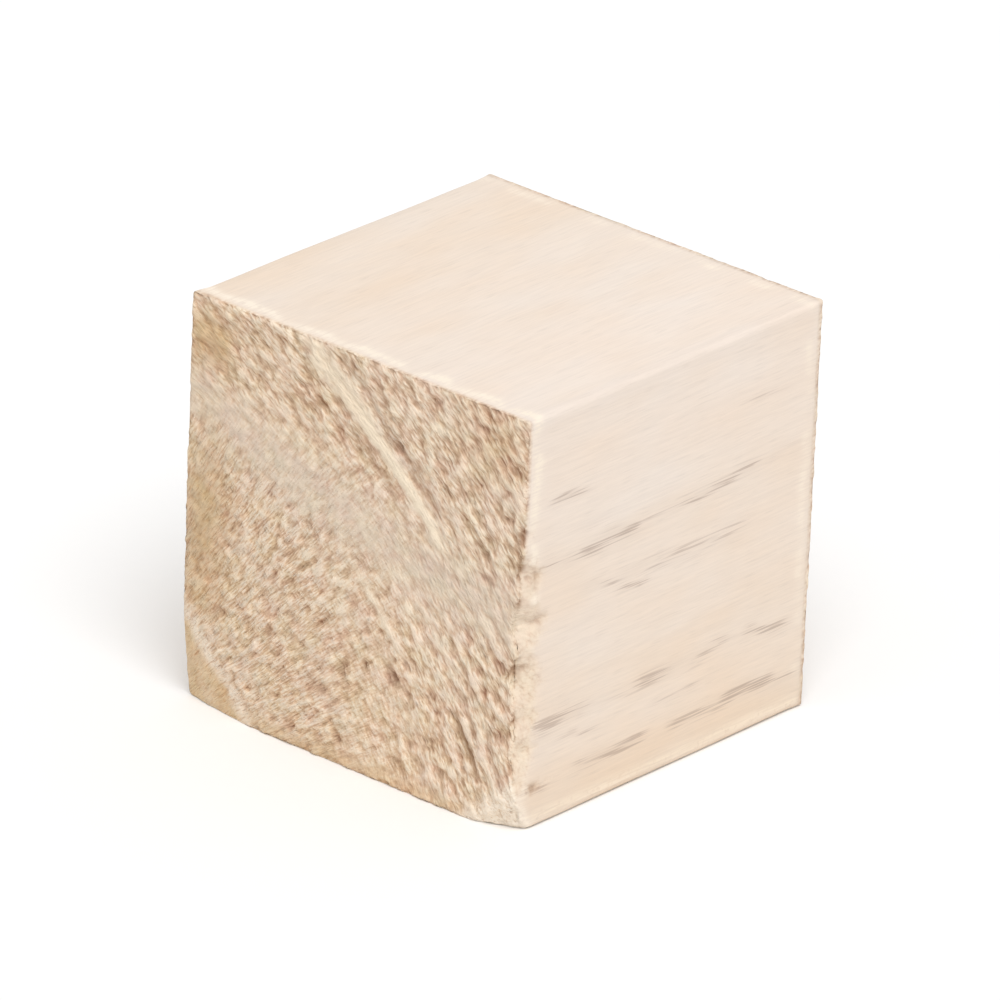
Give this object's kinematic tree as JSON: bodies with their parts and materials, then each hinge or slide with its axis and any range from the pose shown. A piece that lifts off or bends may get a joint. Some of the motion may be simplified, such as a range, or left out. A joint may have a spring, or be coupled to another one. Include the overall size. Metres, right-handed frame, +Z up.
{
  "type": "wooden craft cube",
  "caption": "Plain cube of unfinished pine, sawn from a square planed stick, with eased edges and knocked bottom corners at one sawn end.",
  "frame": {"origin": "middle of the underside, in the plane that the cube rests on", "axes": "+Z up, Y along the grain with the knocked sawn end towards -Y, +X to the right when that end is faced"},
  "size_m": [0.0254, 0.0254, 0.0254],
  "materials": {
    "pine": "unfinished pale pine: planed along the grain, rough sawn across it"
  },
  "bodies": {
    "root": {"wooden_cube": "pine"}
  },
  "joints": []
}
